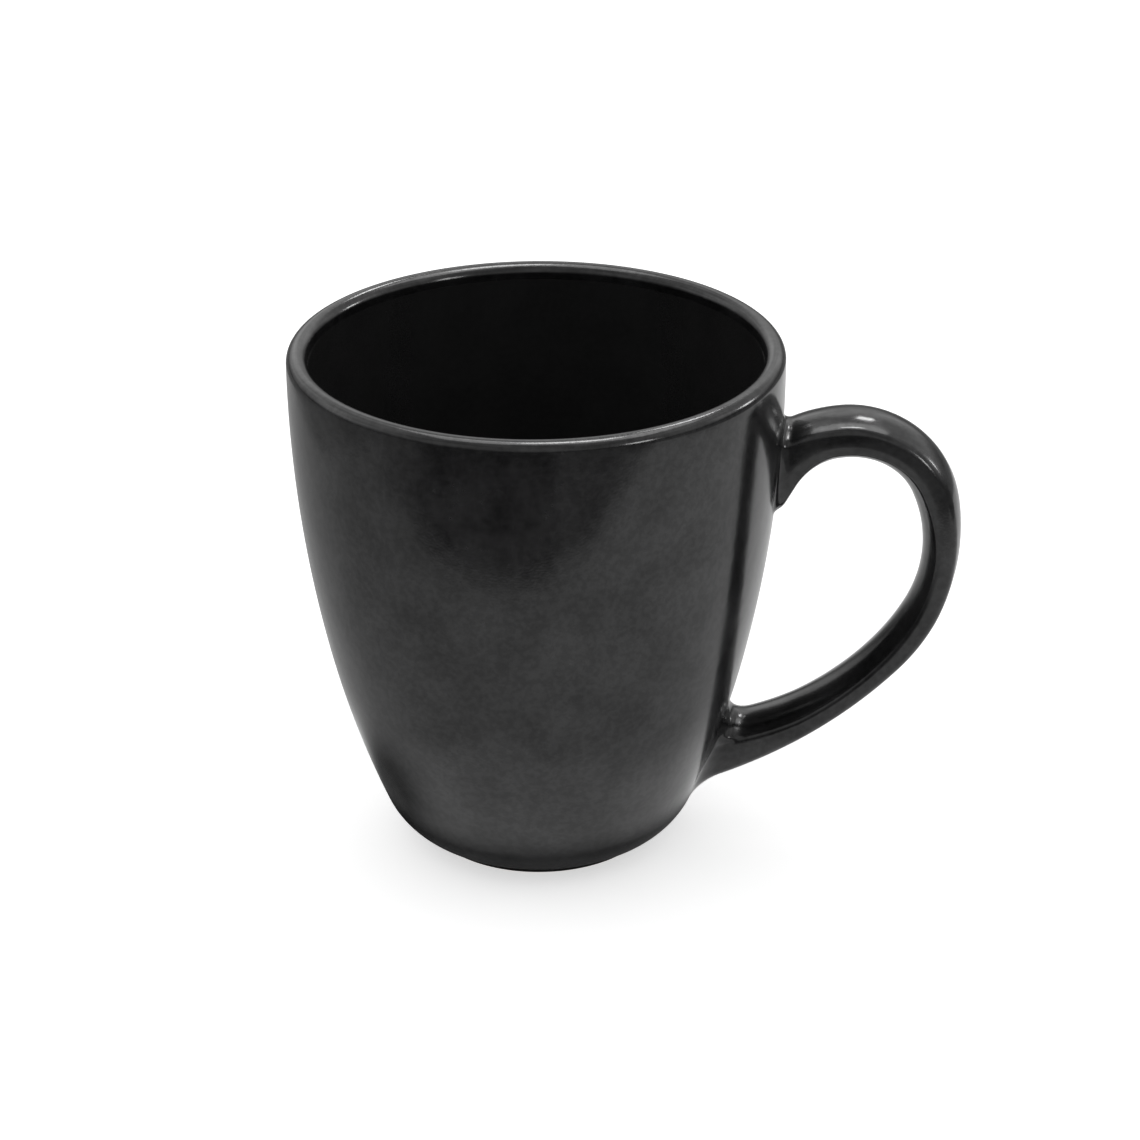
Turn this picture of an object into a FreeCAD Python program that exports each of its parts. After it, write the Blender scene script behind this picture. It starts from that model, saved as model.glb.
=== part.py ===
"""Ceramic mug: fired clay cup, separate strap handle, two luted joints and two glaze coats.

Millimetres.  Z is up, the origin is the middle of the foot's bearing plane, the handle lies along +X.
Every solid is one physical piece of the mug.  The driving sizes and those worked out from them are in the
spreadsheet "dims", which the sketches and features read by expression.
"""
import math
import os
from collections import namedtuple

import FreeCAD
import Part
import Sketcher

doc = FreeCAD.newDocument("mug")
V = FreeCAD.Vector

# ------------------------------------------------------------------------------------------------
# Driving dimensions
# ------------------------------------------------------------------------------------------------
DIMS = {
    # finished (glazed) outside of the cup, from the lip down to the foot
    "rim_radius": 44.0,
    "lip_centre_z": 93.3,
    "lip_radius": 1.9,
    "wall_lean_deg": 0.45,
    "upper_wall_radius": 244.0,
    "upper_wall_sweep": 13.15,
    "lower_wall_radius": 188.0,
    "lower_wall_sweep": 9.33,
    "corner_radius": 13.33,
    "corner_sweep": 48.5,
    # inside of the cup
    "inner_lower_sweep": 7.6,
    "inner_corner_radius": 12.0,
    # foot ring; its outside glaze stops part way round the ring's lower edge
    "foot_edge_radius": 0.7,
    "foot_inner_radius": 17.6,
    "foot_recess": 2.2,
    "foot_recess_round": 1.5,
    "foot_glaze_turn": 28.0,
    # coats and joints
    "glaze_thick": 0.3,
    "slip_thick": 0.5,
    "joint_fillet": 1.8,
    "joint_split_z": 45.0,
    # handle
    "handle_width": 12.8,
    "handle_edge_round": 2.8,
}
# Handle outline in the XZ plane: start point, heading in degrees, then (radius, sweep) arcs, sweep
# positive to the left, and (0, length) straight runs.  Each outline leaves the wall at the top.
OUTER_START, OUTER_HEADING = (40.95, 79.55), 28.0
OUTER_RUNS = [(0, 3.0), (28.2, -21.5), (19.75, -85.9), (38.5, -52.7), (91.2, -29.2)]
INNER_START, INNER_HEADING = (40.9, 65.9), 0.0
INNER_RUNS = [(0, 1.05), (3.0, 60.0), (0, 3.46), (11.0, -45.1), (12.74, -23.3), (11.38, -56.6),
              (25.9, -53.6), (47.2, -53.0)]
# Sizes worked out from the driving ones
FORMULAS = {
    "wall_thick": "2 * lip_radius",
    "clay_lip_radius": "lip_radius - glaze_thick",
    "clay_upper_wall_radius": "upper_wall_radius - glaze_thick",
    "clay_lower_wall_radius": "lower_wall_radius - glaze_thick",
    "clay_corner_radius": "corner_radius - glaze_thick",
    "slip_upper_wall_radius": "clay_upper_wall_radius + slip_thick",
    "slip_lower_wall_radius": "clay_lower_wall_radius + slip_thick",
    "slip_corner_radius": "clay_corner_radius + slip_thick",
    "foot_glaze_radius": "foot_edge_radius + glaze_thick",
    "clay_joint_fillet": "joint_fillet + glaze_thick",
    "blank_width": "handle_width - 2 * glaze_thick",
    "blank_edge_round": "handle_edge_round - glaze_thick",
}
# Two points nearer than this are one point; an edge nearer than this to a surface lies on it.
SAME_POINT = 1e-3
ON_SURFACE = 1e-4
# A block this wide and this long, from this far off the axis, holds one end of the handle.
BLOCK_START, BLOCK_LENGTH, BLOCK_WIDTH, BLOCK_TOP = 10.0, 60.0, 40.0, 95.0

for side, runs in (("outer", OUTER_RUNS), ("inner", INNER_RUNS)):
    for letter, (radius, _) in zip("abcdefgh", runs):
        if radius:
            DIMS["handle_%s_arc_%s" % (side, letter)] = radius

sheet = doc.addObject("Spreadsheet::Sheet", "dims")
cells = {name: repr(float(value)) for name, value in DIMS.items()}
cells.update({name: "=" + formula for name, formula in FORMULAS.items()})
for row, (name, content) in enumerate(cells.items(), 1):
    sheet.set("A%d" % row, name)
    sheet.set("B%d" % row, content)
    sheet.setAlias("B%d" % row, name)
doc.recompute()
D = {name: float(sheet.get(name)) for name in cells}
GLAZE = D["glaze_thick"]


# ------------------------------------------------------------------------------------------------
# Chains of tangent arcs and lines
# ------------------------------------------------------------------------------------------------
# An outline's pieces run from p to q; an arc turns left or right about its centre.
Line = namedtuple("Line", "p q")
Arc = namedtuple("Arc", "centre radius p q left")


class Chain:
    """Tangent arcs and lines in a plane, which can be redrawn at a constant distance to its right."""

    def __init__(self, start, heading, runs):
        self.start = start
        self.heading = heading
        self.runs = runs

    def shifted(self, right):
        """The parallel chain, `right` millimetres to the right of the direction of travel."""
        a = math.radians(self.heading)
        start = (self.start[0] + right * math.sin(a), self.start[1] - right * math.cos(a))
        runs = [(radius and radius + math.copysign(right, right * amount), amount)
                for radius, amount in self.runs]
        return Chain(start, self.heading, runs)

    def pieces(self):
        """The chain as Line and Arc pieces."""
        out = []
        x, z = self.start
        a = math.radians(self.heading)
        for radius, amount in self.runs:
            if radius:
                side = math.copysign(1.0, amount)
                centre = (x - side * radius * math.sin(a), z + side * radius * math.cos(a))
                a += math.radians(amount)
                q = (centre[0] + side * radius * math.sin(a), centre[1] - side * radius * math.cos(a))
                out.append(Arc(centre, radius, (x, z), q, amount > 0))
            else:
                q = (x + amount * math.cos(a), z + amount * math.sin(a))
                out.append(Line((x, z), q))
            x, z = q
        return out

    def end(self):
        """The chain's last point."""
        return self.pieces()[-1].q


def reverse(pieces):
    """The same pieces, travelled the other way."""
    turned = [piece._replace(p=piece.q, q=piece.p) for piece in reversed(pieces)]
    return [piece._replace(left=not piece.left) if isinstance(piece, Arc) else piece for piece in turned]


def path(*points):
    """Straight lines from each point to the next."""
    return [Line(p, q) for p, q in zip(points, points[1:])]


def snap(pieces, first, last):
    """The pieces with their first start and last end moved by a hair onto the given points."""
    pieces = list(pieces)
    pieces[0] = pieces[0]._replace(p=first)
    pieces[-1] = pieces[-1]._replace(q=last)
    return pieces


def body_with_sketch(name, pieces, radii):
    """A body with one closed sketch on its XZ plane; `radii` gives a piece's number its radius formula."""
    body = doc.addObject("PartDesign::Body", name)
    sketch = body.newObject("Sketcher::SketchObject", name + "_outline")
    plane = next(f for f in body.Origin.OriginFeatures if f.Role == "XZ_Plane")
    sketch.AttachmentSupport = [(plane, "")]
    sketch.MapMode = "FlatFace"
    ends = []
    for piece in pieces:
        if isinstance(piece, Line):
            number = sketch.addGeometry(Part.LineSegment(V(*piece.p, 0), V(*piece.q, 0)), False)
            ends.append((number, 1, 2))
        else:
            cx, cz = piece.centre
            first, last = (piece.p, piece.q) if piece.left else (piece.q, piece.p)
            a0 = math.atan2(first[1] - cz, first[0] - cx)
            a1 = math.atan2(last[1] - cz, last[0] - cx)
            circle = Part.Circle(V(cx, cz, 0), V(0, 0, 1), piece.radius)
            number = sketch.addGeometry(Part.ArcOfCircle(circle, a0, a1), False)
            ends.append((number, 1, 2) if piece.left else (number, 2, 1))
    for here, there in zip(ends, ends[1:] + ends[:1]):
        sketch.addConstraint(Sketcher.Constraint("Coincident", here[0], here[2], there[0], there[1]))
    for number, formula in radii.items():
        index = sketch.addConstraint(Sketcher.Constraint("Radius", number, pieces[number].radius))
        sketch.setExpression("Constraints[%d]" % index, formula)
    sketch.Visibility = False
    doc.recompute()
    return body, sketch


def revolve(name, pieces, radii):
    """A body of revolution around the mug's axis."""
    body, sketch = body_with_sketch(name, pieces, radii)
    turned = body.newObject("PartDesign::Revolution", name + "_turned")
    turned.Profile = sketch
    turned.ReferenceAxis = (sketch, ["V_Axis"])
    turned.Angle = 360.0
    doc.recompute()
    return body


def wall_radii(level):
    """Formulas for the outer wall's three arcs, at the glazed, clay or slip level."""
    return {number: "dims.%s%s_radius" % (level, arc)
            for number, arc in enumerate(("upper_wall", "lower_wall", "corner"))}


# ------------------------------------------------------------------------------------------------
# Cup profiles (radius, height)
# ------------------------------------------------------------------------------------------------
LIP = (D["rim_radius"] - D["lip_radius"], D["lip_centre_z"])
DOWN = D["wall_lean_deg"] - 90.0
outside = Chain((D["rim_radius"], LIP[1]), DOWN,
                [(D["upper_wall_radius"], -D["upper_wall_sweep"]),
                 (D["lower_wall_radius"], -D["lower_wall_sweep"]),
                 (D["corner_radius"], -D["corner_sweep"])])
inner_turn = 90.0 + D["wall_lean_deg"] - D["upper_wall_sweep"] - D["inner_lower_sweep"]
inside = Chain((D["rim_radius"] - D["wall_thick"], LIP[1]), DOWN,
               [(D["upper_wall_radius"] - D["wall_thick"], -D["upper_wall_sweep"]),
                (D["lower_wall_radius"] - D["wall_thick"], -D["inner_lower_sweep"]),
                (D["inner_corner_radius"], -inner_turn)])
clay_outside = outside.shifted(GLAZE)
clay_inside = inside.shifted(-GLAZE)
clay_foot_r, clay_foot_z = clay_outside.end()
clay_floor_z = clay_inside.end()[1]
clay_rim = (LIP[0] + D["clay_lip_radius"], LIP[1])
clay_mouth = (LIP[0] - D["clay_lip_radius"], LIP[1])
clay_outer_pieces = snap(clay_outside.pieces(), clay_rim, (clay_foot_r, clay_foot_z))
clay_inner_pieces = snap(clay_inside.pieces(), clay_mouth, clay_inside.end())
foot_edge_centre = (clay_foot_r - D["foot_edge_radius"], D["foot_edge_radius"])


def on_foot_edge(radius, turn):
    """The point on the foot's rounded lower edge, this many degrees below its outermost one."""
    a = math.radians(turn)
    return (foot_edge_centre[0] + radius * math.cos(a), foot_edge_centre[1] - radius * math.sin(a))


def foot_edge(start_turn):
    """The clay foot's rounded lower edge, from this many degrees down to the bearing plane."""
    edge = D["foot_edge_radius"]
    return [Arc(foot_edge_centre, edge, on_foot_edge(edge, start_turn), (foot_edge_centre[0], 0.0), False)]


def underside():
    """Across the bearing plane, up into the recess and in to the axis."""
    recess_r, recess_z, bend = D["foot_inner_radius"], D["foot_recess"], D["foot_recess_round"]
    bend_centre = (recess_r - bend, recess_z - bend)
    bend_end = (recess_r - bend, recess_z)
    return (path((foot_edge_centre[0], 0.0), (recess_r, 0.0), (recess_r, recess_z - bend))
            + [Arc(bend_centre, bend, (recess_r, recess_z - bend), bend_end, True)]
            + path(bend_end, (0.0, recess_z)))


def cup_profile(outer_pieces, lip_radius):
    """A cup from this outer wall and foot edge, with the clay's inside and a lip of this radius."""
    low, high = (0.0, D["foot_recess"]), (0.0, clay_floor_z)
    lip_start, lip_end = (LIP[0] - lip_radius, LIP[1]), (LIP[0] + lip_radius, LIP[1])
    step = path(clay_mouth, lip_start) if lip_start != clay_mouth else []
    return (outer_pieces + underside() + path(low, high, clay_inside.end())
            + reverse(clay_inner_pieces) + step + [Arc(LIP, lip_radius, lip_start, lip_end, False)])


clay_foot_side = path((clay_foot_r, clay_foot_z), on_foot_edge(D["foot_edge_radius"], 0.0))
cup_body = revolve("cup_body", cup_profile(clay_outer_pieces + clay_foot_side + foot_edge(0.0),
                                           D["clay_lip_radius"]), wall_radii("clay_"))

# The same cup with its outside coat on.  The coat follows the foot's side, which meets the corner's arc
# where the arc comes in to the side's radius, and stops part way round the foot's lower edge.
upper_arc, lower_arc, corner = outside.pieces()
side_r = clay_foot_r + GLAZE
corner_tilt = math.acos((side_r - corner.centre[0]) / corner.radius)
side_top = (side_r, corner.centre[1] - corner.radius * math.sin(corner_tilt))
glaze_end = on_foot_edge(D["foot_glaze_radius"], D["foot_glaze_turn"])
coated_outer = ([upper_arc, lower_arc, corner._replace(q=side_top)]
                + path(side_top, on_foot_edge(D["foot_glaze_radius"], 0.0))
                + [Arc(foot_edge_centre, D["foot_glaze_radius"], on_foot_edge(D["foot_glaze_radius"], 0.0),
                       glaze_end, False)]
                + path(glaze_end, on_foot_edge(D["foot_edge_radius"], D["foot_glaze_turn"]))
                + foot_edge(D["foot_glaze_turn"]))
coated_cup = revolve("coated_cup", cup_profile(coated_outer, D["lip_radius"]), wall_radii(""))

# The inside coat, from the mouth down to the middle of the floor.
inner_floor = inside.end()
interior = (inside.pieces() + path(inner_floor, (0.0, inner_floor[1]), (0.0, clay_floor_z), clay_inside.end())
            + reverse(clay_inner_pieces) + path(clay_mouth, inside.start))
interior_glaze = revolve("interior_glaze", interior, {2: "dims.inner_corner_radius"})

# ------------------------------------------------------------------------------------------------
# Handle: side outline padded across, long edges rounded
# ------------------------------------------------------------------------------------------------
outer_chain = Chain(OUTER_START, OUTER_HEADING, OUTER_RUNS)
inner_chain = Chain(INNER_START, INNER_HEADING, INNER_RUNS)


def arc_formulas(side, runs, right, numbers):
    """Formulas for a shifted outline's arcs, which take these piece numbers in the order of the runs."""
    found = {}
    for letter, number, (radius, amount) in zip("abcdefgh", numbers, runs):
        if radius:
            change = "%+d * dims.glaze_thick" % round(math.copysign(1, right * amount)) if right else ""
            found[number] = "dims.handle_%s_arc_%s %s" % (side, letter, change)
    return found


def handle_form(name, inset, width, edge_round):
    """A handle `inset` mm inside its glazed surface, ending inside the wall, of these sheet cells' sizes."""
    top = outer_chain.shifted(inset)
    under = inner_chain.shifted(-inset)
    pieces = (top.pieces() + path(top.end(), under.end()) + reverse(under.pieces())
              + path(under.start, top.start))
    first_under = len(OUTER_RUNS) + 1
    under_numbers = range(first_under + len(INNER_RUNS) - 1, first_under - 1, -1)
    radii = arc_formulas("outer", OUTER_RUNS, inset, range(len(OUTER_RUNS)))
    radii.update(arc_formulas("inner", INNER_RUNS, -inset, under_numbers))
    body, sketch = body_with_sketch(name, pieces, radii)
    pad = body.newObject("PartDesign::Pad", name + "_pad")
    pad.Profile = sketch
    pad.Midplane = True
    pad.setExpression("Length", "dims." + width)
    doc.recompute()
    rounded = body.newObject("PartDesign::Fillet", name + "_rounded")
    rounded.Base = (pad, long_edges(pad.Shape, D[width] / 2, [(top.end(), under.end()),
                                                              (under.start, top.start)]))
    rounded.setExpression("Radius", "dims." + edge_round)
    doc.recompute()
    return body


def long_edges(shape, half_width, closing_lines):
    """Names of the edges on a pad's two sides, less those over the lines that close its outline's ends."""
    closings = [V((p[0] + q[0]) / 2, 0, (p[1] + q[1]) / 2) for p, q in closing_lines]
    names = []
    for number, edge in enumerate(shape.Edges, 1):
        middle = edge.valueAt((edge.FirstParameter + edge.LastParameter) / 2)
        places = [middle] + [vertex.Point for vertex in edge.Vertexes]
        on_side = all(abs(abs(place.y) - half_width) < SAME_POINT for place in places)
        closes = any(V(middle.x, 0, middle.z).distanceToPoint(c) < SAME_POINT for c in closings)
        if on_side and not closes:
            names.append("Edge%d" % number)
    return names


handle_blank = handle_form("handle_blank", GLAZE, "blank_width", "blank_edge_round")
coated_handle = handle_form("coated_handle", 0.0, "handle_width", "handle_edge_round")


def junction_edges(fused, cup, handle):
    """Numbers of the fused shape's edges that lie on both the cup's and the handle's surface."""
    skins = (cup.Shells[0], handle.Shells[0])
    found = []
    for number, edge in enumerate(fused.Edges, 1):
        start, span = edge.FirstParameter, edge.LastParameter - edge.FirstParameter
        points = [Part.Vertex(edge.valueAt(start + share * span)) for share in (0.25, 0.5, 0.75)]
        if all(point.distToShape(skin)[0] < ON_SURFACE for point in points for skin in skins):
            found.append(number)
    return found


def blend(name, cup, handle, radius):
    """Cup and handle in one, with the two junctions rounded to this radius."""
    fused = doc.addObject("Part::MultiFuse", name + "_fused")
    fused.Shapes = [cup, handle]
    doc.recompute()
    rounded = doc.addObject("Part::Fillet", name + "_blended")
    rounded.Base = fused
    rounded.Edges = [(n, radius, radius) for n in junction_edges(fused.Shape, cup.Shape, handle.Shape)]
    doc.recompute()
    return rounded


def cut(name, base, tool):
    """The base less the tool."""
    made = doc.addObject("Part::Cut", name)
    made.Base = base
    made.Tool = tool
    doc.recompute()
    return made


clay_blend = blend("clay", cup_body, handle_blank, D["clay_joint_fillet"])
coat_blend = blend("coat", coated_cup, coated_handle, D["joint_fillet"])

# ------------------------------------------------------------------------------------------------
# Handle, luted joints and outside coat, all cut from the blends
# ------------------------------------------------------------------------------------------------
# The handle's two ends are cut to the wall's curve and stand off it by the slip's thickness.
slip_wall = outside.shifted(GLAZE - D["slip_thick"])
slip_wall_profile = slip_wall.pieces() + path(slip_wall.end(), (0.0, slip_wall.end()[1]),
                                              (0.0, slip_wall.start[1]), slip_wall.start)
slip_form = revolve("slip_form", slip_wall_profile, wall_radii("slip_"))
handle = cut("handle", handle_blank, slip_form)
seams = cut("seams", cut("blend_less_cup", clay_blend, cup_body), handle)


def seam(name, low, height):
    """The slip pad and the smoothed ring of the one handle end between two heights."""
    block = doc.addObject("Part::Box", name + "_block")
    block.Length = BLOCK_LENGTH
    block.Width = BLOCK_WIDTH
    block.setExpression("Height", height)
    block.Placement = FreeCAD.Placement(V(BLOCK_START, -BLOCK_WIDTH / 2, low), FreeCAD.Rotation())
    made = doc.addObject("Part::Common", name)
    made.Base = seams
    made.Tool = block
    doc.recompute()
    return made


upper_joint = seam("upper_handle_joint", D["joint_split_z"], "%g - dims.joint_split_z" % BLOCK_TOP)
lower_joint = seam("lower_handle_joint", 0.0, "dims.joint_split_z")
exterior_glaze = cut("exterior_glaze", coat_blend, clay_blend)

# ------------------------------------------------------------------------------------------------
# Checks and export
# ------------------------------------------------------------------------------------------------
NODES = {"cup_body": cup_body, "handle": handle, "upper_handle_joint": upper_joint,
         "lower_handle_joint": lower_joint, "exterior_glaze": exterior_glaze,
         "interior_glaze": interior_glaze}
doc.recompute()
for item in doc.Objects:
    if "Invalid" in item.State or "Error" in item.State:
        raise RuntimeError("%s is in state %s" % (item.Name, item.State))
os.makedirs("parts", exist_ok=True)
for name, item in NODES.items():
    shape = item.Shape
    if shape.isNull() or not shape.isValid():
        raise RuntimeError("%s has no valid shape" % name)
    if len(shape.Solids) != 1:
        raise RuntimeError("%s has %d solids" % (name, len(shape.Solids)))
    item.Label = name
    shape.exportStep("parts/%s.step" % name)
    print("%-20s volume %.1f mm3" % (name, shape.Volume))
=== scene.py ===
"""Studio scene of a glazed stoneware mug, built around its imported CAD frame.

The mug is one rigid body.  Its clay, its two luted handle joints and its two glaze coats are rebuilt here
as clean meshes with procedural finishes.  Sizes are in millimetres until a mesh is made, and every mesh is
in metres, in the frame's own axes: +Z up, the foot's bearing plane at zero, the handle along +X.
"""
from __future__ import annotations

import logging
import math
from dataclasses import dataclass, field
from enum import Enum
from typing import Iterable, Sequence

import bpy
import numpy as np
from mathutils import Matrix, Vector


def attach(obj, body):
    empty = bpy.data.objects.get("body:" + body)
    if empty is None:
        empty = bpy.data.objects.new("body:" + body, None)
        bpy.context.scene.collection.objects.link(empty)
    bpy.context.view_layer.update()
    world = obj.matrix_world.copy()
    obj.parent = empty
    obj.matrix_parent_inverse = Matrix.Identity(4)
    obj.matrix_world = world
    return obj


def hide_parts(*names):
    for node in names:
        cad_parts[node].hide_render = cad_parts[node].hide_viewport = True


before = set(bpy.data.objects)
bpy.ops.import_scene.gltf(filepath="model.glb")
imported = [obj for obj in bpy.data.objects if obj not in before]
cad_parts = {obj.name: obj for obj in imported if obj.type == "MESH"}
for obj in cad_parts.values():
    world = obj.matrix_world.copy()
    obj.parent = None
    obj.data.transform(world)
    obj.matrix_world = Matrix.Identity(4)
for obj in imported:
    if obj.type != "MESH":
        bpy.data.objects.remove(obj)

LOG = logging.getLogger("mug")
MM = 0.001
PER_METRE = 1000.0
BODY = "root"
Point = tuple[float, float]
Faces = list[tuple[int, ...]]


# ----------------------------------------------------------------------------------------------------
# Plane curves
# ----------------------------------------------------------------------------------------------------
@dataclass(frozen=True)
class Run:
    """One stretch of an outline: an arc, or a straight run where the radius is zero.

    Attributes:
        radius: The arc's radius, or zero.
        amount: The arc's sweep in degrees, positive to the left, or the straight run's length.
    """

    radius: float
    amount: float


@dataclass(frozen=True)
class Chain:
    """Tangent arcs and straight runs in a plane, travelled from a start point along a heading."""

    start: Point
    heading: float
    runs: tuple[Run, ...]

    def points(self, step: float = 1.0, turn: float = 3.0) -> np.ndarray:
        """Samples the chain.

        Args:
            step: The longest distance between samples, in millimetres.
            turn: The largest turn between samples, in degrees.

        Returns:
            An array of positions, one row each.
        """
        here, angle = np.array(self.start, float), math.radians(self.heading)
        found = [here]
        for run in self.runs:
            if run.radius == 0:
                count = max(1, math.ceil(run.amount / step))
                ahead = np.array([math.cos(angle), math.sin(angle)])
                found += [here + ahead * run.amount * k / count for k in range(1, count + 1)]
            else:
                sweep, side = math.radians(run.amount), math.copysign(1.0, run.amount)
                count = max(math.ceil(abs(run.amount) / turn), math.ceil(abs(sweep) * run.radius / step))
                centre = here + side * run.radius * np.array([-math.sin(angle), math.cos(angle)])
                for k in range(1, count + 1):
                    a = angle + sweep * k / count
                    found.append(centre + side * run.radius * np.array([math.sin(a), -math.cos(a)]))
                angle += sweep
            here = found[-1]
        return np.array(found)

    def shifted(self, right: float) -> Chain:
        """The parallel chain, to the right of the direction of travel.

        A negative distance moves the start to the left, but changes each arc's radius as the same positive
        distance does, so the shifted arcs are not parallel then.

        Args:
            right: How far to move, in millimetres.

        Returns:
            The new chain.
        """
        a = math.radians(self.heading)
        start = (self.start[0] + right * math.sin(a), self.start[1] - right * math.cos(a))
        runs = tuple(
            run if run.radius == 0 else Run(run.radius + math.copysign(right, run.amount), run.amount)
            for run in self.runs
        )
        return Chain(start, self.heading, runs)


class Track:
    """A sampled curve that is read by its own length."""

    def __init__(self, points: np.ndarray) -> None:
        """Keeps the samples and the length up to each."""
        self.points = points
        self.lengths = np.concatenate([[0.0], np.cumsum(np.linalg.norm(np.diff(points, axis=0), axis=1))])

    @property
    def length(self) -> float:
        """The whole curve's length."""
        return float(self.lengths[-1])

    def at(self, distance: np.ndarray) -> np.ndarray:
        """Positions at these distances along the curve."""
        return np.stack([np.interp(distance, self.lengths, column) for column in self.points.T], axis=-1)

    def nearest(self, point: np.ndarray) -> float:
        """The distance along the curve of its sample nearest to a point."""
        return float(self.lengths[np.argmin(np.linalg.norm(self.points - point, axis=1))])


# ----------------------------------------------------------------------------------------------------
# Meshes
# ----------------------------------------------------------------------------------------------------
def make_piece(name: str, verts: np.ndarray, faces: Faces, sharp_deg: float = 35.0) -> bpy.types.Object:
    """Makes a smooth shaded mesh object from millimetre vertices.

    Args:
        name: The piece's name.
        verts: Vertex positions in millimetres.
        faces: Vertex numbers of each face.
        sharp_deg: Edges that turn by more than this stay sharp.

    Returns:
        The new object, linked to the scene.
    """
    mesh = bpy.data.meshes.new(name)
    mesh.from_pydata([tuple(v) for v in verts * MM], [], faces)
    mesh.validate()
    mesh.polygons.foreach_set("use_smooth", [True] * len(mesh.polygons))
    mesh.set_sharp_from_angle(angle=math.radians(sharp_deg))
    mesh.update()
    piece = bpy.data.objects.new(name, mesh)
    bpy.context.scene.collection.objects.link(piece)
    return piece


def lathe(name: str, loop: Sequence[Sequence[float]], around: int = 288) -> bpy.types.Object:
    """Turns a closed loop of (radius, height) points about the Z axis.

    Args:
        name: The piece's name.
        loop: The loop's points in millimetres, with the solid on its left.  Points at radius zero may only
            stand next to each other, and become poles.
        around: How many steps the full turn has.

    Returns:
        The new object.
    """
    angles = np.linspace(0.0, 2.0 * math.pi, around, endpoint=False)
    verts: list[tuple[float, float, float]] = []
    rows: list[list[int]] = []
    for radius, height in loop:
        if radius < 1e-9:
            rows.append([len(verts)] * around)
            verts.append((0.0, 0.0, height))
        else:
            rows.append(list(range(len(verts), len(verts) + around)))
            verts += [(radius * math.cos(a), radius * math.sin(a), height) for a in angles]
    faces: Faces = []
    for row, after in zip(rows, rows[1:] + rows[:1]):
        if row[0] == row[1] and after[0] == after[1]:
            continue
        for k in range(around):
            corners = (row[k], after[k], after[(k + 1) % around], row[(k + 1) % around])
            faces.append(tuple(dict.fromkeys(corners)))
    return make_piece(name, np.array(verts), faces)


def tube(name: str, rings: np.ndarray) -> bpy.types.Object:
    """Skins a row of closed rings and caps both ends.

    Args:
        name: The piece's name.
        rings: Positions in millimetres, indexed by ring and by place round the ring.

    Returns:
        The new object.
    """
    count, around, _ = rings.shape
    faces: Faces = []
    for i in range(count - 1):
        for j in range(around):
            k = (j + 1) % around
            faces.append((i * around + j, i * around + k, (i + 1) * around + k, (i + 1) * around + j))
    verts = rings.reshape(-1, 3)
    ends = np.stack([rings[0].mean(axis=0), rings[-1].mean(axis=0)])
    first, last = len(verts), len(verts) + 1
    for j in range(around):
        k = (j + 1) % around
        faces.append((first, k, j))
        faces.append((last, (count - 1) * around + j, (count - 1) * around + k))
    return make_piece(name, np.concatenate([verts, ends]), faces)


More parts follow.
